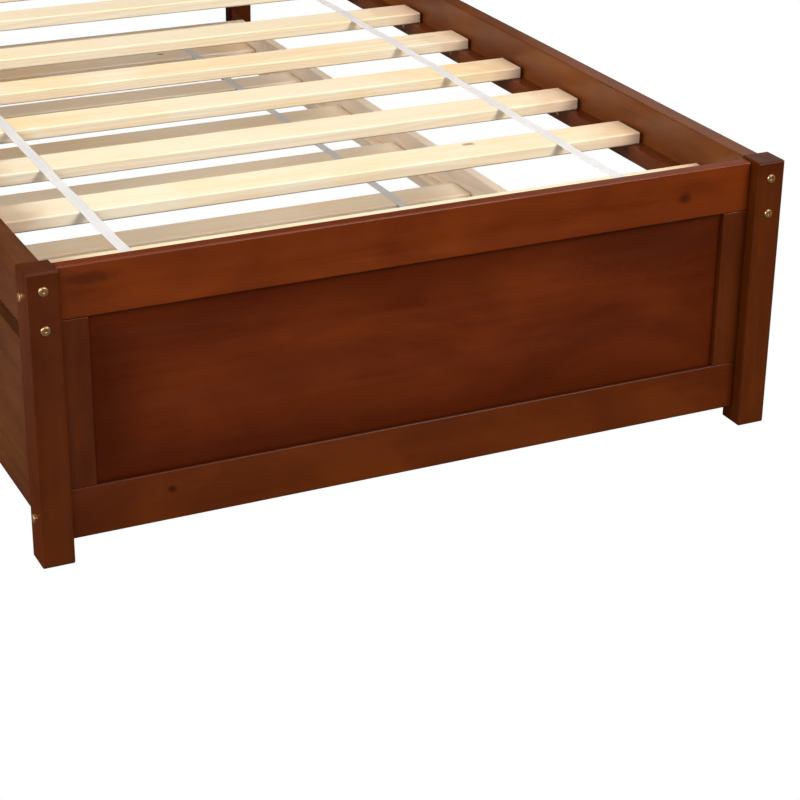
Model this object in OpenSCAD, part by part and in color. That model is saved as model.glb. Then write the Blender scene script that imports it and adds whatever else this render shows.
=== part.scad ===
// Twin platform bed with a roll-out trundle.
// A knock-down frame: four square posts, two framed ends with thin panels, two side rails with ledgers, and
// ten slats on two webbing straps. Under it a second slatted bed rolls out on four casters.
// Origin: middle of the footprint, on the floor. +Z is up and -Y is the foot end.
// The trundle leaves by -X.

/* [Bed frame] */
// Width over the posts
bed_w = 1060; // [1000:10:1560]
// Length over the posts
bed_l = 1985; // [1905:10:2105]
// Side of the square posts
post_w = 42; // [40:1:60]
// Height of the posts
post_h = 390; // [380:5:460]

/* [Foot and head ends] */
// Thickness of the end rails and stiles
end_t = 18; // [16:1:22]
// Height of each end rail
end_rail_h = 69; // [60:1:80]
// Width of each stile
stile_w = 38; // [30:1:60]
// Thickness of the thin panels
panel_t = 5; // [4:1:6]
// Gap under the bottom rail at the foot end
foot_gap = 24; // [15:1:60]
// Gap under the bottom rail at the head end
head_gap = 205; // [120:5:220]

/* [Side rails and slats] */
// Height of the side rails
side_rail_h = 82; // [75:1:95]
// Thickness of the side rails
side_rail_t = 26; // [22:1:28]
// Height and width of the ledgers
ledger_s = 23; // [20:1:25]
// Number of upper slats
slat_count = 10; // [8:1:12]
// Width of a slat
slat_w = 64; // [50:1:70]
// Thickness of a slat
slat_t = 18; // [15:1:20]
// Middle of the end slats, from the outer faces of the posts
slat_end = 124; // [110:1:160]
// Spacing of the slat at the foot from its neighbour
end_pitch = 215; // [180:1:230]
// Spacing across the wider gap past the middle
wide_pitch = 229; // [185:1:240]
// Width of the webbing straps
strap_w = 16; // [12:1:30]
// Middle of each strap, from the middle of the bed
strap_x = 358; // [250:1:380]

/* [Trundle] */
// Height of the front board
front_h = 228; // [200:1:235]
// Thickness of the trundle's boards
board_t = 18; // [16:1:20]
// Height of the back and end boards
board_h = 70; // [60:1:80]
// Height of the trundle's boards above the floor
board_z = 42; // [42:1:50]
// Number of trundle slats
low_slat_count = 8; // [6:1:10]
// Spacing of the trundle slats
low_pitch = 246; // [180:2:248]
// Distance of the trundle's straps from the middle
low_strap_x = 360; // [250:1:380]
// Radius of the caster wheels
wheel_r = 17; // [14:0.5:17]
// Width of the caster wheels
wheel_w = 15; // [12:1:18]

/* [Hidden] */
ENDS = ["foot", "head"];
SIDES = ["left", "right"];
CORNERS = [for (e = ENDS, s = SIDES) str(e, "_", s)];
function numbered(name, n) = [for (i = [1:n]) str(name, "_", i)];

STAIN = "#7a3416";
DARK_STAIN = "#4e1f10";
PINE = "#e8cfa0";
WEBBING = "#dcdcdc";
BRASS = "#b08a4a";
STEEL = "#b8b8b8";
PLASTIC = "#303030";

ease = 1.5;           // chamfer along every edge of the wooden bars
groove_d = 8;         // depth of the panel grooves, and length of the stile tongues
panel_back = 7;       // the panel's face, behind the face of its frame
end_drop = 3;         // the end rails' top, below the top of the posts
rail_drop = 5;        // the side rails' top, below the top of the posts
rail_in = 8;          // the side rails' face, inside the posts' outer face
end_in = 18.5;        // the end frames' face, inside the posts' outer face
slat_end_gap = 5;     // between a slat's end and the side rail
ledger_gap = 2;       // between a ledger's end and the post
strap_t = 0.9;
strap_end = 6;        // a strap's end, inside the outer edge of the last slat

bolt_r = 3;
bolt_l = 78;          // under the head
bolt_head_r = 6.2;
bolt_head_h = 2.2;
bolt_socket = 2.3;    // corner radius of the hex socket
bolt_socket_d = 1.9;  // depth of the hex socket
bolt_room = 8;        // length of the hole past the nut's axis
nut_r = 5;
nut_l = 16;
nut_in = 32;          // a barrel nut's axis, behind the rail's end
bolt_clear = 0.3;
fit = 0.1;            // gap around a barrel nut or a screw in its hole
bolt_pitch = 50;      // between the two bolts of a side rail
bolt_drop = 2.5;      // the middle of those two bolts, below the middle of the rail
screw_r = 1.8;
screw_head_r = 3.6;
ledger_screw_l = 38;
low_screw_l = 32;
corner_screw_l = 45;

trundle_gap = 2.5;    // between the trundle and the posts, at each end
front_in = 8;         // the front board's face, inside the posts' outer face
front_z = 52;
low_ledger_s = 20;
low_screw_up = 15;    // the trundle's ledger screws, above the underside of the ledger
low_slat_gap = 2;     // between a trundle slat's end and the boards
back_in = 20;         // the back board's face, inside the posts' outer face
block_l = 60;
block_w = 46;
plate_t = 2;
plate_l = 40;
plate_w = 36;
fork_t = 2;
arm_r = 7;
wheel_side = 0.8;     // between the wheel's side and the fork
hub_r = 6;
rim_r = 13;
axle_r = 2.5;
axle_clear = 0.06;
axle_head_r = 4;
axle_head_h = 1.2;
cap = 0.01;           // how far a cut runs past a face

half_w = bed_w / 2;
half_l = bed_l / 2;
post_x = half_w - post_w / 2;
post_y = half_l - post_w / 2;
inner_x = half_w - post_w;
inner_y = half_l - post_w;
end_face_y = half_l - end_in;
end_y = end_face_y - end_t / 2;
end_top_z = post_h - end_drop - end_rail_h;
rail_x = half_w - rail_in - side_rail_t / 2;
rail_z = post_h - rail_drop - side_rail_h;
rail_bolt_z = rail_z + side_rail_h / 2 - bolt_drop;
rail_inner_x = rail_x - side_rail_t / 2;
slat_z = rail_z + ledger_s;
slat_l = 2 * (rail_inner_x - slat_end_gap);
slat_pitch = (bed_l - 2 * slat_end - end_pitch - wide_pitch) / (slat_count - 3);
wide_after = ceil((slat_count + 1) / 2);
strap_z = slat_z + slat_t;
strap_l = bed_l - 2 * slat_end + slat_w - 2 * strap_end;

trundle_half_l = inner_y - trundle_gap;
front_x = -half_w + front_in + board_t / 2;
back_x = half_w - back_in - board_t / 2;
inner_front_x = front_x + board_t / 2;
inner_back_x = back_x - board_t / 2;
low_slat_z = board_z + low_ledger_s;
low_slat_l = inner_back_x - inner_front_x - 2 * low_slat_gap;
low_mid_x = (inner_back_x + inner_front_x) / 2;
low_strap_z = low_slat_z + slat_t;
low_strap_l = (low_slat_count - 1) * low_pitch + slat_w - 2 * strap_end;
board_y = trundle_half_l - board_t / 2;
caster_x = [inner_front_x + low_ledger_s + block_w / 2, inner_back_x - low_ledger_s - block_w / 2];
caster_y = trundle_half_l - board_t - block_l / 2;

// A box from its middle in X and Y and its underside, with every edge chamfered
module bar(size, e = ease) {
    translate([0, 0, size.z / 2]) intersection() {
        linear_extrude(size.z, center = true) chamfered(size.x, size.y, e);
        rotate([90, 0, 0]) linear_extrude(size.y, center = true) chamfered(size.x, size.z, e);
        rotate([90, 0, 90]) linear_extrude(size.x, center = true) chamfered(size.y, size.z, e);
    }
}

// A rectangle with its corners cut at 45 degrees
module chamfered(w, h, e) {
    x = w / 2;
    y = h / 2;
    polygon([
        [e - x, -y], [x - e, -y], [x, e - y], [x, y - e],
        [x - e, y], [e - x, y], [-x, y - e], [-x, e - y]
    ]);
}

// A cylinder along X, Y or Z from the origin
module rod_x(r, l) { rotate([0, 90, 0]) cylinder(r = r, h = l, $fn = 48); }
module rod_y(r, l) { rotate([-90, 0, 0]) cylinder(r = r, h = l, $fn = 48); }

function sign_x(side) = side == "left" ? -1 : 1;
function sign_y(end) = end == "foot" ? -1 : 1;
function bottom_z(end) = end == "foot" ? foot_gap : head_gap;
function end_rail_zs(end) = [end_top_z, bottom_z(end)];
function end_bolt_zs(end) = [for (z = end_rail_zs(end)) z + end_rail_h / 2];
function low_slat_y(i) = (i - (low_slat_count + 1) / 2) * low_pitch;

// Even spacing, but for the gap next to the slat at the foot and the one past the middle
function slat_y(i) =
    i == 1 ? slat_end - half_l :
    slat_end + end_pitch - half_l + (i - 2) * slat_pitch + (i > wide_after ? wide_pitch - slat_pitch : 0);

// Every second slat, counted from both ends, hides a ledger screw
function screw_slats() = [for (i = [1:slat_count]) if (min(i, slat_count + 1 - i) % 2 == 1) i];
function rail_bolt_zs() = [rail_bolt_z - bolt_pitch / 2, rail_bolt_z + bolt_pitch / 2];

// Puts a child, drawn for a bolt that enters along +X, at each side bolt of one end and side
module at_end_bolts(end, side) {
    for (z = end_bolt_zs(end))
        translate([sign_x(side) * half_w, sign_y(end) * end_y, z])
            mirror([side == "left" ? 0 : 1, 0, 0]) children();
}

// Puts a child, drawn for a bolt that enters along +X, at each lengthwise bolt of one post
module at_rail_bolts(end, side) {
    for (z = rail_bolt_zs())
        translate([sign_x(side) * rail_x, sign_y(end) * half_l, z])
            mirror([0, end == "foot" ? 0 : 1, 0]) rotate([0, 0, 90]) children();
}

// The space a bolt needs, from a face at x = 0
module bolt_hole() { translate([-cap, 0, 0]) rod_x(bolt_r + bolt_clear, post_w + nut_in + bolt_room); }

module bolt() {
    difference() {
        union() {
            rod_x(bolt_r, bolt_l);
            translate([-bolt_head_h, 0, 0]) rotate([0, 90, 0]) rotate_extrude($fn = 48) polygon([
                [0, 0], [4.6, 0], [5.7, 0.5],
                [bolt_head_r, 1.4], [bolt_head_r, bolt_head_h], [0, bolt_head_h]
            ]);
        }
        translate([-bolt_head_h - cap, 0, 0]) rotate([0, 90, 0])
            cylinder(r = bolt_socket, h = bolt_socket_d, $fn = 6);
    }
}

// A barrel nut across a bolt that enters along +X, with its own axis along Y
module barrel_nut() {
    translate([post_w + nut_in, 0, 0]) difference() {
        translate([0, -nut_l / 2, 0]) rod_y(nut_r, nut_l);
        translate([-nut_r - 1, 0, 0]) rod_x(bolt_r + fit, 2 * nut_r + 2);
    }
}

// The seat of a barrel nut in a rail of thickness t, open towards Y when open is 1 and -Y when it is -1
module nut_hole(t, open) {
    translate([post_w + nut_in, 0, 0]) mirror([0, open > 0 ? 0 : 1, 0])
        translate([0, -nut_l / 2, 0]) rod_y(nut_r + fit, nut_l / 2 + t / 2 + cap);
}

// A countersunk screw that enters along +X with its head flush at x = 0, and the hole it needs
module screw(l, gap = 0) {
    rotate([0, 90, 0]) rotate_extrude($fn = 32) polygon([
        [0, -gap], [screw_head_r + gap, -gap], [screw_head_r + gap, 0.3],
        [screw_r + gap, 2.3], [screw_r + gap, l + gap], [0, l + gap]
    ]);
}
module cross_screw(l) {
    difference() {
        screw(l);
        for (a = [0, 90]) translate([0.6 - cap, 0, 0]) rotate([a, 0, 0]) cube([1.2, 4, 0.8], center = true);
    }
}

module post(end, side) {
    color(STAIN) difference() {
        translate([sign_x(side) * post_x, sign_y(end) * post_y, 0]) bar([post_w, post_w, post_h], 2);
        at_end_bolts(end, side) bolt_hole();
        at_rail_bolts(end, side) bolt_hole();
    }
}

// The groove for the panel in an end frame, as a solid over the whole opening
module groove(end) {
    z0 = bottom_z(end) + end_rail_h;
    h = end_top_z - z0;
    w = 2 * (inner_x - stile_w);
    y = end_face_y - panel_back - panel_t / 2;
    translate([0, sign_y(end) * y, z0 + h / 2])
        cube([w + 2 * groove_d, panel_t, h + 2 * groove_d], center = true);
}

// The slots in the rails that take the stiles' tongues, which are cut in line with the panel
module tongue(end, side) {
    z0 = bottom_z(end) + end_rail_h;
    h = end_top_z - z0;
    x = inner_x - stile_w / 2;
    y = end_face_y - panel_back - panel_t / 2;
    translate([sign_x(side) * x, sign_y(end) * y, z0 + h / 2])
        cube([stile_w, panel_t, h + 2 * groove_d], center = true);
}

module end_rail(end, z) {
    difference() {
        translate([0, sign_y(end) * end_y, z]) bar([2 * inner_x, end_t, end_rail_h]);
        groove(end);
        for (s = SIDES) {
            tongue(end, s);
            at_end_bolts(end, s) bolt_hole();
            at_end_bolts(end, s) nut_hole(end_t, -sign_y(end));
        }
    }
}
module top_rail(end) { color(STAIN) end_rail(end, end_top_z); }
module bottom_rail(end) { color(STAIN) end_rail(end, bottom_z(end)); }

module stile(end, side) {
    z0 = bottom_z(end) + end_rail_h;
    color(STAIN) difference() {
        union() {
            translate([sign_x(side) * (inner_x - stile_w / 2), sign_y(end) * end_y, z0])
                bar([stile_w, end_t, end_top_z - z0], 0.6);
            tongue(end, side);
        }
        groove(end);
    }
}

module panel(end) { color(DARK_STAIN) groove(end); }

module side_rail(side) {
    color(STAIN) difference() {
        translate([sign_x(side) * rail_x, 0, rail_z]) bar([side_rail_t, 2 * inner_y, side_rail_h]);
        for (e = ENDS) {
            at_rail_bolts(e, side) bolt_hole();
            at_rail_bolts(e, side) nut_hole(side_rail_t, sign_x(side));
        }
        at_ledger_screws(side) screw(ledger_screw_l, fit);
    }
}

// Puts a child, drawn for a screw that enters along +X, at each screw of one ledger of the bed
module at_ledger_screws(side) {
    for (i = screw_slats())
        translate([sign_x(side) * (rail_inner_x - ledger_s), slat_y(i), rail_z + ledger_s / 2])
            mirror([side == "left" ? 1 : 0, 0, 0]) children();
}

module ledger(side) {
    color(DARK_STAIN) difference() {
        translate([sign_x(side) * (rail_inner_x - ledger_s / 2), 0, rail_z])
            bar([ledger_s, 2 * (inner_y - ledger_gap), ledger_s], 1);
        at_ledger_screws(side) screw(ledger_screw_l, fit);
    }
}

module slat(i) {
    color(PINE) translate([0, slat_y(i), slat_z]) bar([slat_l, slat_w, slat_t], 2);
}

// Webbing of length l, laid at x over a row of slats whose tops are at z
module strap(side, x, l, z) {
    color(WEBBING) translate([sign_x(side) * x, 0, z + strap_t / 2])
        cube([strap_w, l, strap_t], center = true);
}

module frame_bolts() {
    color(BRASS) for (e = ENDS, s = SIDES) {
        at_end_bolts(e, s) bolt();
        at_rail_bolts(e, s) bolt();
    }
}

module barrel_nuts() {
    color(BRASS) for (e = ENDS, s = SIDES) {
        at_end_bolts(e, s) barrel_nut();
        at_rail_bolts(e, s) barrel_nut();
    }
}

module ledger_screws() { color(STEEL) for (s = SIDES) at_ledger_screws(s) cross_screw(ledger_screw_l); }

// Puts a child, drawn for a screw that enters along +X, at each screw of one ledger of the trundle
module at_low_ledger_screws(side) {
    x = side == "left" ? inner_front_x + low_ledger_s : inner_back_x - low_ledger_s;
    for (i = [1:low_slat_count])
        translate([x, low_slat_y(i), board_z + low_screw_up])
            mirror([side == "left" ? 1 : 0, 0, 0]) children();
}

// Puts a child at each screw that joins the back board to the end boards, entering along -X
module at_corner_screws() {
    for (e = ENDS, z = [board_z + board_h / 4, board_z + board_h * 3 / 4])
        translate([back_x + board_t / 2, sign_y(e) * board_y, z]) mirror([1, 0, 0]) children();
}

module trundle_front() {
    color(STAIN) difference() {
        translate([front_x, 0, front_z]) bar([board_t, 2 * trundle_half_l, front_h]);
        at_low_ledger_screws("left") screw(low_screw_l, fit);
    }
}

module trundle_back() {
    color(PINE) difference() {
        translate([back_x, 0, board_z]) bar([board_t, 2 * trundle_half_l, board_h]);
        at_low_ledger_screws("right") screw(low_screw_l, fit);
        at_corner_screws() screw(corner_screw_l, fit);
    }
}

module trundle_end_board(end) {
    color(PINE) difference() {
        translate([low_mid_x, sign_y(end) * board_y, board_z])
            bar([inner_back_x - inner_front_x, board_t, board_h], 1);
        at_corner_screws() screw(corner_screw_l, fit);
    }
}

module trundle_ledger(side) {
    x = side == "left" ? inner_front_x + low_ledger_s / 2 : inner_back_x - low_ledger_s / 2;
    color(PINE) difference() {
        translate([x, 0, board_z]) bar([low_ledger_s, 2 * (trundle_half_l - board_t), low_ledger_s], 1);
        at_low_ledger_screws(side) screw(low_screw_l, fit);
    }
}

module trundle_slat(i) {
    color(PINE) translate([low_mid_x, low_slat_y(i), low_slat_z]) bar([low_slat_l, slat_w, slat_t], 2);
}

module trundle_screws() {
    color(STEEL) {
        for (s = SIDES) at_low_ledger_screws(s) cross_screw(low_screw_l);
        at_corner_screws() cross_screw(corner_screw_l);
    }
}

// Puts a child, drawn around a caster's middle on the floor, at one corner of the trundle
module at_caster(end, side) {
    translate([caster_x[side == "left" ? 0 : 1], sign_y(end) * caster_y, 0]) children();
}

module caster_blocks() {
    color(PINE) for (e = ENDS, s = SIDES)
        at_caster(e, s) translate([0, 0, board_z]) bar([block_w, block_l, low_ledger_s], 1);
}

module caster_fork(end, side) {
    arm_y = wheel_w / 2 + wheel_side;
    color(STEEL) at_caster(end, side) difference() {
        union() {
            translate([0, 0, board_z - plate_t / 2]) cube([plate_l, plate_w, plate_t], center = true);
            for (m = [0, 1]) mirror([0, m, 0]) translate([0, arm_y, 0]) {
                translate([0, 0, wheel_r]) rod_y(arm_r, fork_t);
                translate([-arm_r, 0, wheel_r]) cube([2 * arm_r, fork_t, board_z - plate_t - wheel_r]);
            }
        }
        translate([0, -arm_y - fork_t - cap, wheel_r])
            rod_y(axle_r + axle_clear, 2 * (arm_y + fork_t + cap));
    }
}

module caster_axles() {
    arm_y = wheel_w / 2 + wheel_side + fork_t;
    color(STEEL) for (e = ENDS, s = SIDES) at_caster(e, s) translate([0, 0, wheel_r]) {
        translate([0, -arm_y, 0]) rod_y(axle_r, 2 * arm_y);
        for (m = [0, 1]) mirror([0, m, 0]) translate([0, arm_y, 0]) rod_y(axle_head_r, axle_head_h);
    }
}

module caster_wheel(end, side) {
    w = wheel_w / 2;
    b = axle_r + axle_clear;
    color(PLASTIC) at_caster(end, side)
        translate([0, 0, wheel_r]) rotate([90, 0, 0]) rotate_extrude($fn = 72) polygon([
        [b, -w], [hub_r, -w], [hub_r + 1, 1.5 - w], [rim_r - 1, 1.5 - w], [rim_r, -w], [wheel_r - 1.5, -w],
        [wheel_r - 0.4, 0.5 - w], [wheel_r, 1.6 - w], [wheel_r, w - 1.6], [wheel_r - 0.4, w - 0.5],
        [wheel_r - 1.5, w], [rim_r, w], [rim_r - 1, w - 1.5], [hub_r + 1, w - 1.5], [hub_r, w], [b, w]
    ]);
}

for (e = ENDS, s = SIDES)
    post(e, s);
for (e = ENDS) {
    top_rail(e);
    bottom_rail(e);
    for (s = SIDES) stile(e, s);
    panel(e);
}
for (s = SIDES) {
    side_rail(s);
    ledger(s);
    strap(s, strap_x, strap_l, strap_z);
}
for (i = [1:slat_count])
    slat(i);
frame_bolts();
barrel_nuts();
ledger_screws();
trundle_front();
trundle_back();
for (e = ENDS)
    trundle_end_board(e);
trundle_ledger("left");  // trundle_front_ledger
trundle_ledger("right");  // trundle_back_ledger
for (s = SIDES)
    strap(s, low_strap_x, low_strap_l, low_strap_z);
for (i = [1:low_slat_count])
    trundle_slat(i);
trundle_screws();
caster_blocks();
caster_axles();
for (e = ENDS, s = SIDES) {
    caster_fork(e, s);
    caster_wheel(e, s);
}
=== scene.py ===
"""A low slatted platform bed in stained wood, with a second slatted bed on casters that rolls out
from under it.

Metres, in the frame of the CAD: the origin is the middle of the footprint on the floor, +Z is up,
-Y is the foot end, and the trundle leaves by -X.
"""

from math import pi, radians, sin

import bmesh
import bpy
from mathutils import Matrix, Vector


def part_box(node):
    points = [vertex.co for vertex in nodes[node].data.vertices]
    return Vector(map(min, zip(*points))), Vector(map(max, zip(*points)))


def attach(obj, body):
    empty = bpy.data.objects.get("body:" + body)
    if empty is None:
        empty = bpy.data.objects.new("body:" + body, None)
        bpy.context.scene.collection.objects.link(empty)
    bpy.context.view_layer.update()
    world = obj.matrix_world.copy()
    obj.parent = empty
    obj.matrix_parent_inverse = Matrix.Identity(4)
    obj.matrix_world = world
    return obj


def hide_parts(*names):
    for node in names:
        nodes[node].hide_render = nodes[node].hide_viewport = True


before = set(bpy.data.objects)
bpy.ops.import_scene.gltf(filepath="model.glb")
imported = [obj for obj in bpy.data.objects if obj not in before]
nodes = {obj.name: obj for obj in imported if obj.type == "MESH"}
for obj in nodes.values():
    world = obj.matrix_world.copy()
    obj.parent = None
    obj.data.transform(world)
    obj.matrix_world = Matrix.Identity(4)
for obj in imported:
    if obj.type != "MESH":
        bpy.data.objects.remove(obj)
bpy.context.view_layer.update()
scene = bpy.context.scene

# ---------------------------------------------------------------- camera
camera_data = bpy.data.cameras.new("camera")
camera_data.lens = 99.47
camera_data.sensor_width = 36.0
camera_data.clip_end = 100.0
camera = bpy.data.objects.new("camera", camera_data)
camera.location = (-1.1737, -3.3387, 1.3335)
camera.rotation_euler = [radians(a) for a in (65.383, -0.633, -25.425)]
scene.collection.objects.link(camera)
scene.camera = camera
scene.view_settings.view_transform = "Standard"


# ---------------------------------------------------------------- node helpers
def add(tree, kind, inputs=None, **settings):
    """A new node. An input is a constant, or a socket to link."""
    node = tree.nodes.new(kind)
    for key, value in settings.items():
        setattr(node, key, value)
    for key, value in (inputs or {}).items():
        put(tree, node.inputs[key], value)
    return node


def put(tree, socket, value):
    if isinstance(value, bpy.types.NodeSocket):
        tree.links.new(value, socket)
    else:
        socket.default_value = value


def calc(tree, operation, a, b=0.0, c=0.0):
    return add(tree, "ShaderNodeMath", {0: a, 1: b, 2: c}, operation=operation).outputs[0]


def plus(tree, a, b):
    return calc(tree, "ADD", a, b)


def minus(tree, a, b):
    return calc(tree, "SUBTRACT", a, b)


def times(tree, a, b):
    return calc(tree, "MULTIPLY", a, b)


def vec(tree, operation, a, b=(0, 0, 0), out=0):
    return add(tree, "ShaderNodeVectorMath", {0: a, 1: b}, operation=operation).outputs[out]


def length(tree, vector):
    return vec(tree, "LENGTH", vector, out=1)


def stretch(tree, vector, x, y, z):
    return vec(tree, "MULTIPLY", vector, (x, y, z))


def split(tree, vector):
    return add(tree, "ShaderNodeSeparateXYZ", {0: vector}).outputs


def object_place(tree):
    return add(tree, "ShaderNodeTexCoord").outputs["Object"]


def remap(tree, value, a, b, c=0.0, d=1.0, smooth=True):
    """The range a to b, turned into c to d and held there past its ends."""
    inputs = {0: value, 1: a, 2: b, 3: c, 4: d}
    kind = "SMOOTHSTEP" if smooth else "LINEAR"
    return add(tree, "ShaderNodeMapRange", inputs, interpolation_type=kind).outputs[0]


def mix(tree, factor, a, b):
    inputs = {0: factor, 6: a, 7: b}
    return add(tree, "ShaderNodeMix", inputs, data_type="RGBA", clamp_result=True).outputs[2]


def noise(tree, vector, scale, detail=2.0, rough=0.5, distortion=0.0):
    inputs = {"Vector": vector, "Scale": scale, "Detail": detail}
    inputs |= {"Roughness": rough, "Distortion": distortion}
    return add(tree, "ShaderNodeTexNoise", inputs).outputs[0]


def rgb(r, g, b):
    return (r, g, b, 1.0)


def tinted(colour, factors):
    """A colour times a factor for each channel."""
    return rgb(*(c * f for c, f in zip(colour, factors)))


def material(name):
    made = bpy.data.materials.new(name)
    made.use_nodes = True
    made.node_tree.nodes.clear()
    return made, made.node_tree


BEVEL_SAMPLES = 6


def surface(tree, colour, roughness, height, depth, arris=0.0, **constants):
    """The shader at the end of a material. depth is the height of the pattern, and arris the
    rounding of edges, in metres."""
    bump = add(tree, "ShaderNodeBump", {"Strength": 1.0, "Distance": depth, "Height": height})
    if arris:
        bevel = add(tree, "ShaderNodeBevel", {"Radius": arris}, samples=BEVEL_SAMPLES)
        put(tree, bump.inputs["Normal"], bevel.outputs[0])
    inputs = {"Base Color": colour, "Roughness": roughness, "Normal": bump.outputs[0]}
    inputs |= {key.replace("_", " "): value for key, value in constants.items()}
    shader = add(tree, "ShaderNodeBsdfPrincipled", inputs)
    add(tree, "ShaderNodeOutputMaterial", {0: shader.outputs[0]})


def give(node, made):
    data = nodes[node].data
    data.materials.clear()
    data.materials.append(made)


# ---------------------------------------------------------------- wood
# for each axis that the grain can follow: the axis along the board, then the two across it
ALONG = {"x": "XYZ", "y": "YXZ", "z": "ZXY"}

KNOT_PUSH = 0.012  # how far a branch bends the rings round it

# random branches
BRANCH_CELL = (0.42, 0.11)  # the grid, along and across the grain, that has up to one in each cell
BRANCH_SQUASH = 0.62  # below one draws a branch out along the grain
BRANCH_WOBBLE = 0.006
BRANCH_CHANCE = (0.80, 0.84)  # a cell has no branch below the first, and a whole one above the last
BRANCH_RADIUS = (0.0035, 0.010)
BRANCH_FADE = -0.12  # how quickly the bend in the rings dies away

# growth rings
RING_DRIFT = 0.055  # the slow wandering of the pith
RING_WAVER = 0.006
STAINED_RING = 0.0055  # from one ring to the next
PINE_RING = 0.0046

# stain, and the painted shade on it, as factors of a board's colour
STAIN_DEEP = (0.66, 0.58, 0.90)
STAIN_BRIGHT = (1.34, 1.46, 1.10)
# STAIN_KNOT_AND_SHADE also darkens the painted shade in MARKS_AND_PAINTED_SHADE
STAIN_KNOT_AND_SHADE = (0.30, 0.28, 0.80)
# STAIN_PAINTED_SHADE is the colour of the painted shade near the edges
STAIN_PAINTED_SHADE = (0.45, 0.42, 1.00)
# what makes the stain lighter or darker: the pattern, its middle value, its weight
STAIN_PARTS = (
    ("Blotch", 0.5, 1.9),
    ("Streak", 0.5, 0.42),
    ("Fibre", 0.5, 0.35),
    ("Rings", 0.25, -0.05),
)
LACQUER_GLOSS = 0.32
# PAINTED_SHADE_GLOSS_LOSS is how much duller the gloss is under the painted shade
PAINTED_SHADE_GLOSS_LOSS = 0.29
LACQUER_DEPTH = 0.00005

# planed pine
PINE_PALE = (0.85, 0.765, 0.605)
PINE_GOLD = (0.87, 0.645, 0.365)
PINE_LATE = (0.66, 0.47, 0.29)
PINE_TIP = rgb(0.60, 0.38, 0.25)
PINE_KNOT = rgb(0.20, 0.095, 0.045)
PINE_KNOT_DEPTH = 0.64
PINE_TIP_DEPTH = 0.6
PINE_DEPTH = 0.00018
PINE_ARRIS = 0.0003


def board_space(tree, axis, shift):
    """The place on a board in metres: X along the grain, then the two ways across it."""
    parts = split(tree, object_place(tree))
    order = {i: parts["XYZ".index(letter)] for i, letter in enumerate(ALONG[axis])}
    return vec(tree, "ADD", add(tree, "ShaderNodeCombineXYZ", order).outputs[0], shift)


def board_point(axis, shift, point):
    """A point of the row frame, in board space."""
    return tuple(point["XYZ".index(letter)] + move for letter, move in zip(ALONG[axis], shift))


def make_branches(tree, place):
    """How dark a random branch makes the wood, and how much it bends the rings."""
    along, across = BRANCH_CELL
    grid = stretch(tree, place, 1 / along, 1 / across, 0.0)
    inputs = {"Vector": grid, "Scale": 1.0, "Randomness": 1.0}
    branch = add(tree, "ShaderNodeTexVoronoi", inputs, voronoi_dimensions="2D").outputs
    away = vec(tree, "SUBTRACT", grid, branch["Position"])
    away = stretch(tree, away, along * BRANCH_SQUASH, across, 0.0)
    wobble = times(tree, minus(tree, noise(tree, place, 90.0), 0.5), BRANCH_WOBBLE)
    distance = plus(tree, length(tree, away), wobble)
    chance = split(tree, branch["Color"])
    there = remap(tree, chance[0], *BRANCH_CHANCE)
    radius = remap(tree, chance[1], 0.0, 1.0, *BRANCH_RADIUS, smooth=False)
    ratio = calc(tree, "DIVIDE", distance, radius)
    knot = times(tree, remap(tree, ratio, 1.15, 0.55), there)
    fade = times(tree, ratio, times(tree, ratio, BRANCH_FADE))
    bulge = times(tree, calc(tree, "EXPONENT", fade), there)
    return knot, bulge


def make_grain():
    """A group: growth rings round a pith line along X, fine fibres, blotches and streaks, and
    random branches through the board."""
    tree = bpy.data.node_groups.new("grain", "ShaderNodeTree")
    face = tree.interface
    for name, kind in (("Vector", "Vector"), ("Ring", "Float"), ("Push", "Float")):
        face.new_socket(name, in_out="INPUT", socket_type=f"NodeSocket{kind}")
    for name in ("Rings", "Fibre", "Blotch", "Streak", "Knot"):
        face.new_socket(name, in_out="OUTPUT", socket_type="NodeSocketFloat")
    given = add(tree, "NodeGroupInput").outputs
    place = given["Vector"]

    knot, bulge = make_branches(tree, place)
    push = plus(tree, times(tree, bulge, KNOT_PUSH), given["Push"])

    drift = noise(tree, stretch(tree, place, 0.9, 5.0, 5.0), 1.0, 1.0)
    waver = noise(tree, stretch(tree, place, 5.0, 28.0, 28.0), 1.0, 2.0)
    reach = length(tree, stretch(tree, place, 0.0, 1.0, 1.0))
    reach = plus(tree, reach, times(tree, drift, RING_DRIFT))
    reach = plus(tree, reach, times(tree, waver, RING_WAVER))
    reach = plus(tree, reach, push)
    turn = calc(tree, "FRACT", calc(tree, "DIVIDE", reach, given["Ring"]))
    rings = times(tree, remap(tree, turn, 0.15, 0.86), remap(tree, turn, 1.0, 0.9))

    fibre = noise(tree, stretch(tree, place, 9.0, 700.0, 700.0), 1.0, 3.0, 0.6)
    blotch = noise(tree, stretch(tree, place, 5.0, 9.5, 9.5), 1.0, 4.0, 0.6, 0.6)
    streak = noise(tree, stretch(tree, place, 1.6, 60.0, 60.0), 1.0, 3.0, 0.55)
    made = {"Rings": rings, "Fibre": fibre, "Blotch": blotch, "Streak": streak, "Knot": knot}
    add(tree, "NodeGroupOutput", made)
    return tree


GRAIN = make_grain()


def grain(tree, place, ring, push=0.0):
    inputs = {"Vector": place, "Ring": ring, "Push": push}
    group = add(tree, "ShaderNodeGroup", node_tree=GRAIN)
    for name, value in inputs.items():
        put(tree, group.inputs[name], value)
    return group.outputs


def spot(tree, place, centre, size):
    """0 to 1, highest round a point on a board; size is its reach along and across the grain."""
    along, across = size
    away = vec(tree, "SUBTRACT", place, centre)
    ripple = times(tree, noise(tree, place, 120.0), 0.7)
    far = length(tree, stretch(tree, away, 1 / along, 1 / across, 1 / across))
    return remap(tree, plus(tree, far, ripple), 1.5, 0.55)


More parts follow.
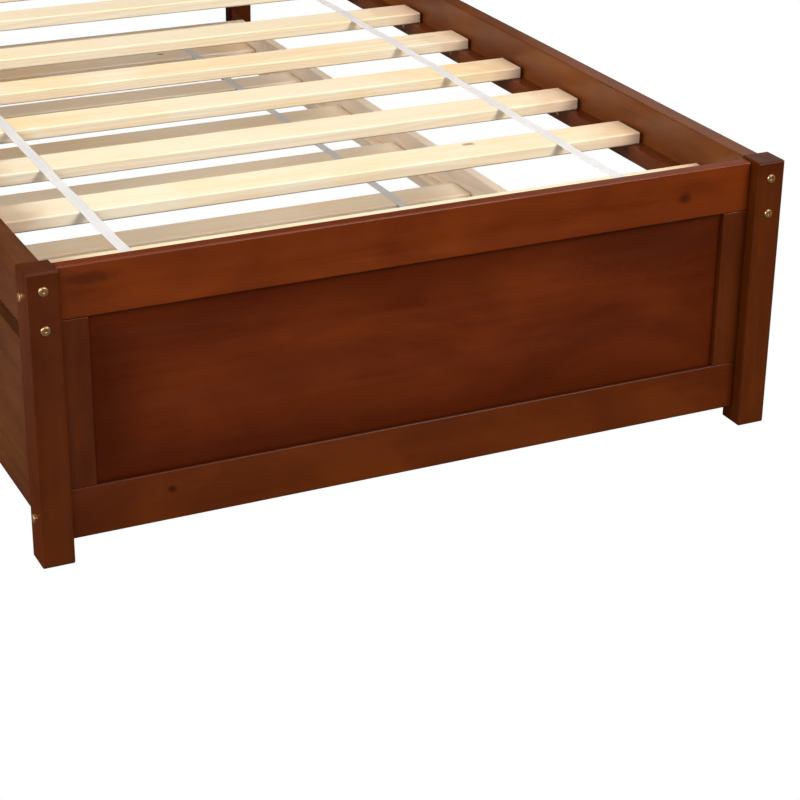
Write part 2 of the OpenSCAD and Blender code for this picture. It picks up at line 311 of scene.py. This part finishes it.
def stained(name, axis, shift, colour, marks_and_shade, arris, painted_shade):
    """Satin lacquer over stain. marks are knots, dark patches and painted shade, as in
    MARKS_AND_PAINTED_SHADE. rim makes the field of painted shade, where the colour is darker and
    the gloss duller, or is None."""
    made, tree = material(name)
    place = board_space(tree, axis, shift)
    known = [
        (spot(tree, place, board_point(axis, shift, centre), size), depth)
        for centre, size, depth in marks_and_shade
    ]
    push = 0.0
    for field, depth in known:
        push = plus(tree, push, times(tree, field, KNOT_PUSH * depth))
    wood = grain(tree, place, STAINED_RING, push)
    light = 0.5
    for part, middle, weight in STAIN_PARTS:
        light = calc(tree, "MULTIPLY_ADD", minus(tree, wood[part], middle), weight, light)
    share = remap(tree, light, 0.0, 1.0, smooth=False)
    tint = mix(tree, share, tinted(colour, STAIN_DEEP), tinted(colour, STAIN_BRIGHT))
    gloss = LACQUER_GLOSS
    # painted shade: a darker colour and a duller gloss where rim gives its field
    if painted_shade:
        edge = painted_shade(tree, place)
        tint = mix(tree, edge, tint, tinted(colour, STAIN_PAINTED_SHADE))
        gloss = calc(tree, "MULTIPLY_ADD", edge, -PAINTED_SHADE_GLOSS_LOSS, gloss)
    dark = tinted(colour, STAIN_KNOT_AND_SHADE)
    tint = mix(tree, times(tree, wood["Knot"], 0.45), tint, dark)
    # the knots and dark patches of marks, with the painted shade among them
    for field, depth in known:
        tint = mix(tree, times(tree, field, depth), tint, dark)
    height = plus(tree, times(tree, wood["Fibre"], 0.5), times(tree, wood["Rings"], -0.35))
    rough = remap(tree, wood["Streak"], 0.3, 0.7, 0.27, 0.36)
    surface(tree, tint, rough, height, LACQUER_DEPTH, arris, Specular_IOR_Level=gloss)
    return made


def pine(name, axis, shift, warm, tone, tips):
    """Planed pine with no finish. warm is how golden it is, tone a factor for each channel of its
    colour, which on the trundle's pieces is painted light, and tips how brown a slat's ends are."""
    made, tree = material(name)
    place = board_space(tree, axis, shift)
    wood = grain(tree, place, PINE_RING)
    pale, gold, late = (tinted(c, tone) for c in (PINE_PALE, PINE_GOLD, PINE_LATE))
    blotch = remap(tree, wood["Blotch"], 0.40, 0.66, 0.0, 0.12 + 0.68 * warm)
    tint = mix(tree, blotch, pale, gold)
    tint = mix(tree, remap(tree, wood["Streak"], 0.45, 0.75, 0.0, 0.45), tint, gold)
    tint = mix(tree, times(tree, wood["Rings"], 0.26), tint, late)
    tint = mix(tree, remap(tree, wood["Fibre"], 0.5, 0.8, 0.0, 0.20), tint, late)
    reach = calc(tree, "ABSOLUTE", minus(tree, split(tree, place)[0], shift[0]))
    reach = calc(tree, "MULTIPLY_ADD", noise(tree, place, 30.0, 3.0), 0.12, reach)
    tip = remap(tree, reach, 0.44, 0.54, 0.0, PINE_TIP_DEPTH * tips)
    tint = mix(tree, tip, tint, PINE_TIP)
    tint = mix(tree, times(tree, wood["Knot"], PINE_KNOT_DEPTH), tint, PINE_KNOT)
    height = plus(tree, wood["Fibre"], times(tree, wood["Rings"], 0.5))
    rough = remap(tree, wood["Fibre"], 0.3, 0.7, 0.55, 0.70)
    surface(tree, tint, rough, height, PINE_DEPTH, PINE_ARRIS, Specular_IOR_Level=0.15)
    return made


# ---------------------------------------------------------------- painted shade near the edges
def panel_painted_shade(node, shift):
    """Painted shade: a panel darker and duller towards the frame round it."""
    low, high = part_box(node)
    half, tall, middle = (high.x - low.x) / 2, (high.z - low.z) / 2, (high.z + low.z) / 2

    def painted_shade(tree, place):
        cloud = times(tree, noise(tree, stretch(tree, place, 6.0, 14.0, 14.0), 1.0, 3.0), 0.05)
        parts = split(tree, vec(tree, "SUBTRACT", place, shift))
        aside = minus(tree, half, calc(tree, "ABSOLUTE", parts[0]))
        above = minus(tree, tall, calc(tree, "ABSOLUTE", minus(tree, parts[2], middle)))
        near = plus(tree, calc(tree, "MINIMUM", times(tree, aside, 0.6), above), cloud)
        return remap(tree, near, 0.110, 0.01, 0.0, 0.75)

    return painted_shade


def upper_painted_shade(node, along, depth, shift, strength):
    """Painted shade: a piece darker and duller towards its top. along is the axis its grain
    follows."""
    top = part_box(node)[1].z

    def painted_shade(tree, place):
        parts = split(tree, vec(tree, "SUBTRACT", place, shift))
        height = parts[ALONG[along].index("Z")]
        return remap(tree, height, top - depth, top - depth * 0.2, 0.0, strength)

    return painted_shade


# which pieces get painted shade: the panels near their frame, the ledge along the top of the bottom
# rails below the recessed panels, and the tops of the posts
def painted_shade_of(node, axis, shift):
    if "panel" in node:
        return panel_painted_shade(node, shift)
    if "bottom_rail" in node:
        return upper_painted_shade(node, axis, 0.002, shift, 1.0)
    if "post" in node:
        return upper_painted_shade(node, axis, 0.030, shift, 0.35)
    return None


def arris_of(node):
    """How far the edges of a stained piece are rounded."""
    if "post" in node:
        return 0.0016
    return 0.0013 if "top_rail" in node or "side_rail" in node else 0.0005


# ---------------------------------------------------------------- metal and plastic
def metal(name, colour, rough, scale, share=1.0):
    """Metal with fine spots. share is below one where a film of lacquer scatters some light."""
    made, tree = material(name)
    spots = noise(tree, object_place(tree), scale, 3.0, 0.6)
    dark = tinted(colour, (0.62, 0.62, 0.62))
    tint = mix(tree, remap(tree, spots, 0.4, 0.75), rgb(*colour), dark)
    roughness = remap(tree, spots, 0.3, 0.7, rough * 0.8, rough * 1.3)
    surface(tree, tint, roughness, spots, 0.00005, Metallic=share)
    return made


def moulded(name):
    """Black nylon with a little dust."""
    made, tree = material(name)
    place = object_place(tree)
    grit = noise(tree, place, 900.0, 2.0)
    dust = noise(tree, place, 60.0, 3.0, 0.6)
    clean, dusty = rgb(0.012, 0.012, 0.013), rgb(0.035, 0.033, 0.030)
    tint = mix(tree, remap(tree, dust, 0.45, 0.75), clean, dusty)
    surface(tree, tint, remap(tree, dust, 0.3, 0.7, 0.42, 0.58), grit, 0.0001)
    return made


# ---------------------------------------------------------------- materials of the pieces
SIDES = ("left", "right")
ENDS = ("foot", "head")

# the middle colour of each kind of stained board
POST = (0.077, 0.0135, 0.0008)
TOP_RAIL = (0.134, 0.0205, 0.0006)
LOW_RAIL = (0.098, 0.0165, 0.0010)
STILE = (0.076, 0.0132, 0.0010)
PANEL = (0.104, 0.0148, 0.0010)
# the left rail is darker and more olive than the right one: painted shade
SIDE_RAIL = {"left": (0.096, 0.0270, 0.0070), "right": (0.128, 0.0320, 0.0060)}
LEDGER = (0.110, 0.0230, 0.0045)
FRONT_BOARD = (0.100, 0.0290, 0.0075)

# the tone of the pine; the trundle's pieces, in the shade under the bed, get painted light that
# makes them lighter and less yellow
FRESH = (1.0, 1.0, 1.0)
UNDER_BED_PAINTED_LIGHT = (1.06, 1.03, 1.09)

# knots, dark patches and painted shade: centre, reach along and across the grain, and darkness
MARKS_AND_PAINTED_SHADE = {
    "foot_top_rail": (
        ((0.385, -0.974, 0.350), (0.014, 0.011), 0.80),
        ((0.405, -0.974, 0.362), (0.050, 0.016), 0.35),
        ((-0.445, -0.974, 0.368), (0.040, 0.010), 0.55),
        ((-0.480, -0.974, 0.345), (0.070, 0.050), 0.38),
    ),
    "foot_bottom_rail": (
        ((-0.352, -0.974, 0.067), (0.007, 0.006), 0.90),
        ((-0.470, -0.974, 0.060), (0.080, 0.050), 0.25),
    ),
    "foot_panel": (
        # painted shade near the frame round the panel
        ((0.340, -0.970, 0.285), (0.170, 0.060), 0.42),
        ((-0.440, -0.970, 0.180), (0.060, 0.160), 0.35),
    ),
}


def log_shift(n):
    """A different stretch of the log for each board: how far along, and where its pith lies."""
    return (3.7 * n + 1.3, 0.021 + 0.017 * (n * 7 % 5), -0.045 - 0.013 * (n * 3 % 7))


boards = []
for end in ENDS:
    for side in SIDES:
        boards += [(f"post_{end}_{side}", "z", POST), (f"{end}_stile_{side}", "z", STILE)]
    boards += [(f"{end}_top_rail", "x", TOP_RAIL), (f"{end}_bottom_rail", "x", LOW_RAIL)]
    boards.append((f"{end}_panel", "x", PANEL))
for side in SIDES:
    boards += [(f"side_rail_{side}", "y", SIDE_RAIL[side]), (f"ledger_{side}", "y", LEDGER)]
boards.append(("trundle_front", "y", FRONT_BOARD))
for count, (node, axis, colour) in enumerate(boards):
    shift = log_shift(count)
    marks_and_shade, painted_shade = MARKS_AND_PAINTED_SHADE.get(node, ()), painted_shade_of(node, axis, shift)
    give(node, stained(node, axis, shift, colour, marks_and_shade, arris_of(node), painted_shade))

top_slats = [f"slat_{i}" for i in range(1, 11)]
low_slats = [f"trundle_slat_{i}" for i in range(1, 9)]

# the node, its grain, how warm it is, its tone, and how brown its ends are
planks = [(node, "x", (i * 5 % 7) / 6, FRESH, 1.0) for i, node in enumerate(top_slats, 1)]
planks += [(node, "x", (i * 3 % 5) / 4, UNDER_BED_PAINTED_LIGHT, 0.0) for i, node in enumerate(low_slats, 1)]
planks += [("trundle_back", "y", 0.3, UNDER_BED_PAINTED_LIGHT, 0.0), ("trundle_front_ledger", "y", 0.3, UNDER_BED_PAINTED_LIGHT, 0.0)]
planks += [("trundle_back_ledger", "y", 0.2, UNDER_BED_PAINTED_LIGHT, 0.0), ("caster_blocks", "y", 0.6, UNDER_BED_PAINTED_LIGHT, 0.0)]
planks += [(f"trundle_{end}_board", "x", 0.4, UNDER_BED_PAINTED_LIGHT, 0.0) for end in ENDS]
for count, (node, axis, warm, tone, tips) in enumerate(planks, len(boards)):
    give(node, pine(node, axis, log_shift(count), warm, tone, tips))

BRASS = metal("brass", (0.72, 0.44, 0.21), 0.30, 900.0, 0.86)
ZINC = metal("zinc", (0.62, 0.63, 0.65), 0.30, 500.0)
NYLON = moulded("nylon")
for node in ("frame_bolts", "barrel_nuts"):
    give(node, BRASS)
for node in ("ledger_screws", "trundle_screws", "caster_axles"):
    give(node, ZINC)
for end in ENDS:
    for side in SIDES:
        give(f"caster_fork_{end}_{side}", ZINC)
        give(f"caster_wheel_{end}_{side}", NYLON)


# ---------------------------------------------------------------- straps
STRAP_WIDTH = 0.016
STRAP_RIBS = 7
RIB_COLUMNS = 6  # columns of the mesh in each rib
STRAP_STEP = 0.006  # from one row of the mesh to the next
RIB_DIP = 0.28  # depth of the groove between ribs, as a share of the thickness
EDGE_THICKNESS = 0.25  # at the selvedge, as a share of the thickness
EDGE_SLOPE = 14.0  # how quickly the band comes to its full thickness from there
SLACK = 0.0010  # the sag between two slats
DRIFT_START = 0.25  # how far from its foot end a band starts to leave its line
DRIFT_RUN = 0.6  # the length over which it leaves
WAVER = 0.0006  # small bends to left and right
WAVER_TURN = 9.0  # radians of them in a metre
CORD = 0.0011  # from one cord of the weave to the next, across the band
PICK = 0.0018  # and along it


def webbing(name):
    """Woven, slightly translucent. Its UVs are metres across and along the band."""
    made, tree = material(name)
    place = add(tree, "ShaderNodeUVMap", uv_map="strap").outputs[0]
    across, along = split(tree, place)[:2]
    ridge = calc(tree, "SINE", times(tree, across, pi * STRAP_RIBS / STRAP_WIDTH))
    ridge = calc(tree, "ABSOLUTE", ridge)
    cords = calc(tree, "SINE", times(tree, across, 2 * pi / CORD))
    picks = calc(tree, "SINE", times(tree, along, 2 * pi / PICK))
    weave = times(tree, cords, picks)
    wear = noise(tree, stretch(tree, place, 60.0, 9.0, 1.0), 1.0, 2.0)
    # darker in the grooves between the ribs and along the selvedges: painted shade
    tint = mix(tree, remap(tree, ridge, 0.0, 0.55), rgb(0.68, 0.69, 0.74), rgb(0.90, 0.90, 0.94))
    tint = mix(tree, remap(tree, weave, -1.0, 1.0, 0.0, 0.22), tint, rgb(0.66, 0.66, 0.70))
    tint = mix(tree, remap(tree, wear, 0.35, 0.75, 0.0, 0.35), tint, rgb(0.80, 0.77, 0.80))
    rough = remap(tree, weave, -1.0, 1.0, 0.52, 0.38)
    surface(tree, tint, rough, weave, 0.00008, Sheen_Weight=0.15, Alpha=0.78)
    return made


def ease(t):
    t = min(max(t, 0.0), 1.0)
    return t * t * (3 - 2 * t)


def slack_at(y, gaps):
    """How far the band sags at y: most in the middle of a gap between two slats."""
    for start, stop in gaps:
        if start < y < stop:
            t = (y - start) / (stop - start)
            return 4 * SLACK * t * (1 - t)
    return 0.0


def strap_ring(low, high, y, middle, slack):
    """The outline of a band at one place along it, over the top and back underneath: each point,
    with its share of the way across."""
    width, thick = high.x - low.x, high.z - low.z
    columns = STRAP_RIBS * RIB_COLUMNS
    ring = []
    for face in (1, -1):
        for column in range(columns + 1):
            across = column / columns if face == 1 else 1 - column / columns
            edge = min(across, 1 - across) * 2
            rib = 1 - RIB_DIP + RIB_DIP * abs(sin(across * STRAP_RIBS * pi))
            height = thick / 2 * rib * min(1.0, edge * EDGE_SLOPE + EDGE_THICKNESS)
            x = middle + (across - 0.5) * width
            ring.append(((x, y, low.z + thick / 2 + face * height - slack), across))
    return ring


def strap_piece(node, slats, drift, made):
    """A woven band over a row of slats: flat on each slat, with a little slack between them.
    drift is how far it leaves its line towards the head."""
    low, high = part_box(node)
    width, run = high.x - low.x, high.y - low.y
    mids = [sum((corner.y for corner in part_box(name)), 0.0) / 2 for name in slats]
    half = (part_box(slats[0])[1].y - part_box(slats[0])[0].y) / 2
    gaps = [(a + half, b - half) for a, b in zip(mids, mids[1:])]
    rows = round(run / STRAP_STEP)
    mesh = bmesh.new()
    uv = mesh.loops.layers.uv.new("strap")
    grid = []
    for row in range(rows + 1):
        y = low.y + run * row / rows
        middle = (low.x + high.x) / 2 + drift * ease((y - low.y - DRIFT_START) / DRIFT_RUN)
        middle += WAVER * sin(y * WAVER_TURN)
        ring = strap_ring(low, high, y, middle, slack_at(y, gaps))
        grid.append([(mesh.verts.new(point), across, y) for point, across in ring])
    for below, above in zip(grid, grid[1:]):
        for i in range(len(below)):
            j = (i + 1) % len(below)
            corners = (below[i], below[j], above[j], above[i])
            face = mesh.faces.new([vert for vert, across, y in corners])
            face.smooth = True
            for loop, (vert, across, y) in zip(face.loops, corners):
                loop[uv].uv = (across * width, y)
    for ring, order in ((grid[0], -1), (grid[-1], 1)):
        mesh.faces.new([vert for vert, across, y in ring][::order])
    bmesh.ops.recalc_face_normals(mesh, faces=mesh.faces)
    data = bpy.data.meshes.new(f"{node}_band")
    mesh.to_mesh(data)
    mesh.free()
    data.materials.append(made)
    piece = bpy.data.objects.new(f"{node}_band", data)
    scene.collection.objects.link(piece)
    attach(piece, "trundle" if node.startswith("trundle") else "bed_frame")
    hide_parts(node)


WEBBING = webbing("webbing")
for node, slats, drift in (
    ("strap_left", top_slats, 0.010),
    ("strap_right", top_slats, 0.008),
    ("trundle_strap_left", low_slats, 0.004),
    ("trundle_strap_right", low_slats, -0.003),
):
    strap_piece(node, slats, drift, WEBBING)


# ---------------------------------------------------------------- stage
def floor_material():
    """Pale, and white to the eye. The lacquer mirrors a dimmer floor, so that its colour stays
    deep, with a brighter pool off the bed's left side at the foot end."""
    made, tree = material("floor")
    path = add(tree, "ShaderNodeLightPath").outputs
    place = split(tree, object_place(tree))
    pool = times(tree, remap(tree, place[0], -0.55, -1.3), remap(tree, place[1], 0.4, -0.5))
    pool = calc(tree, "MULTIPLY_ADD", pool, 0.30, 0.02)
    mirrored = {"Color": rgb(1.0, 0.96, 0.90), "Strength": pool}
    white = {"Color": rgb(1, 1, 1), "Strength": 1.0}
    dull = add(tree, "ShaderNodeBsdfDiffuse", {"Color": rgb(0.42, 0.41, 0.40)}).outputs[0]
    dim = add(tree, "ShaderNodeEmission", mirrored).outputs[0]
    bright = add(tree, "ShaderNodeEmission", white).outputs[0]
    inputs = {0: path["Is Glossy Ray"], 1: dull, 2: dim}
    other = add(tree, "ShaderNodeMixShader", inputs).outputs[0]
    inputs = {0: path["Is Camera Ray"], 1: other, 2: bright}
    seen = add(tree, "ShaderNodeMixShader", inputs).outputs[0]
    add(tree, "ShaderNodeOutputMaterial", {0: seen})
    return made


def make_world():
    """White behind the bed, and a faint warm fill everywhere else."""
    world = bpy.data.worlds.new("studio")
    scene.world = world
    world.use_nodes = True
    tree = world.node_tree
    tree.nodes.clear()
    camera_ray = add(tree, "ShaderNodeLightPath").outputs["Is Camera Ray"]
    dim = add(tree, "ShaderNodeBackground", {0: rgb(1.0, 0.97, 0.94), 1: 0.04}).outputs[0]
    bright = add(tree, "ShaderNodeBackground", {0: rgb(1, 1, 1), 1: 1.0}).outputs[0]
    seen = add(tree, "ShaderNodeMixShader", {0: camera_ray, 1: dim, 2: bright}).outputs[0]
    add(tree, "ShaderNodeOutputWorld", {0: seen})


def softbox(name, place, aim, size, power, colour):
    data = bpy.data.lights.new(name, "AREA")
    data.shape = "RECTANGLE"
    data.size, data.size_y = size
    data.energy = power
    data.color = colour
    lamp = bpy.data.objects.new(name, data)
    lamp.location = place
    lamp.rotation_euler = (Vector(aim) - Vector(place)).to_track_quat("-Z", "Y").to_euler()
    scene.collection.objects.link(lamp)


FLOOR_SIZE = 30.0

bpy.ops.mesh.primitive_plane_add(size=FLOOR_SIZE, location=(0, 0, 0))
floor = bpy.context.object
floor.name = "floor"
floor.data.materials.append(floor_material())

make_world()
softbox("key", (1.7, -3.5, 2.9), (0, -0.5, 0.3), (1.7, 1.7), 162.0, (1.0, 0.965, 0.89))
softbox("overhead", (0.2, 0.5, 3.0), (0, 0.3, 0.2), (2.6, 2.6), 39.0, (1.0, 0.93, 0.79))
softbox("front_fill", (-2.0, -3.9, 1.7), (0, -0.8, 0.2), (1.6, 1.2), 50.0, (0.93, 0.98, 1.10))
softbox("left_fill", (-3.6, -0.7, 1.7), (-0.2, -0.4, 0.3), (2.4, 1.6), 150.0, (1.0, 0.97, 0.92))
softbox("back_wall", (4.7, 4.2, 2.2), (0.4, -0.6, 0.3), (3.0, 2.0), 9.5, (1.0, 0.90, 0.82))
